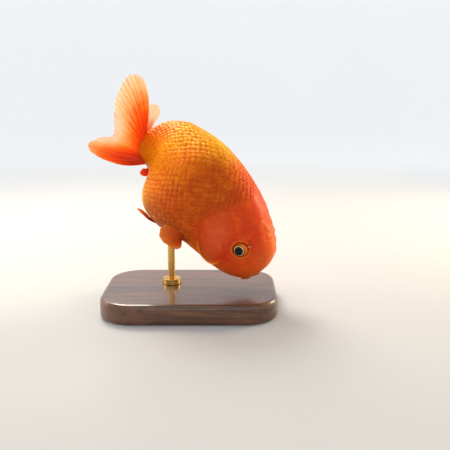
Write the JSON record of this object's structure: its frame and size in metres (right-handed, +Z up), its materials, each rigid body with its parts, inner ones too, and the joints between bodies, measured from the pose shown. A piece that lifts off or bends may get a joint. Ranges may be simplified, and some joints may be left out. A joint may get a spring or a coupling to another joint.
{
  "type": "fancy goldfish display model",
  "caption": "Life-size still model of a round-bodied fancy goldfish with no dorsal fin and a spread double tail, diving head down, held by a brass rod on a flat wooden base.",
  "frame": {"origin": "middle of the stand's base, at its underside", "axes": "+Z up, the fish's right side towards -Y, its tail towards -X and its head towards +X and down"},
  "size_m": [0.1106, 0.0801, 0.1385],
  "materials": {
    "red_skin": "smooth wet red-orange skin",
    "lip_pink": "smooth pale pink-orange lip",
    "eye": "glossy black eye with a thin pale gold ring",
    "orange_scales": "overlapping orange scales, yellow along the back, brown-orange low on the flank",
    "fin_membrane": "thin rayed membrane, red-orange at the root and pale at the edge",
    "stand_wood": "dark satin walnut",
    "stand_brass": "brushed brass"
  },
  "bodies": {
    "root": {"head": "red_skin", "gill_cover_right": "red_skin", "gill_cover_left": "red_skin", "upper_lip": "lip_pink", "lower_lip": "lip_pink", "eye_right": "eye", "eye_left": "eye", "trunk": "orange_scales", "tail_stalk": "orange_scales", "pectoral_fin_right": "fin_membrane", "pectoral_fin_left": "fin_membrane", "pelvic_fin_right": "fin_membrane", "pelvic_fin_left": "fin_membrane", "anal_fin_right": "fin_membrane", "anal_fin_left": "fin_membrane", "tail_fin_right_upper": "fin_membrane", "tail_fin_right_lower": "fin_membrane", "tail_fin_left_upper": "fin_membrane", "tail_fin_left_lower": "fin_membrane", "stand_base": "stand_wood", "stand_rod": "stand_brass", "stand_collar": "stand_brass"}
  },
  "joints": []
}
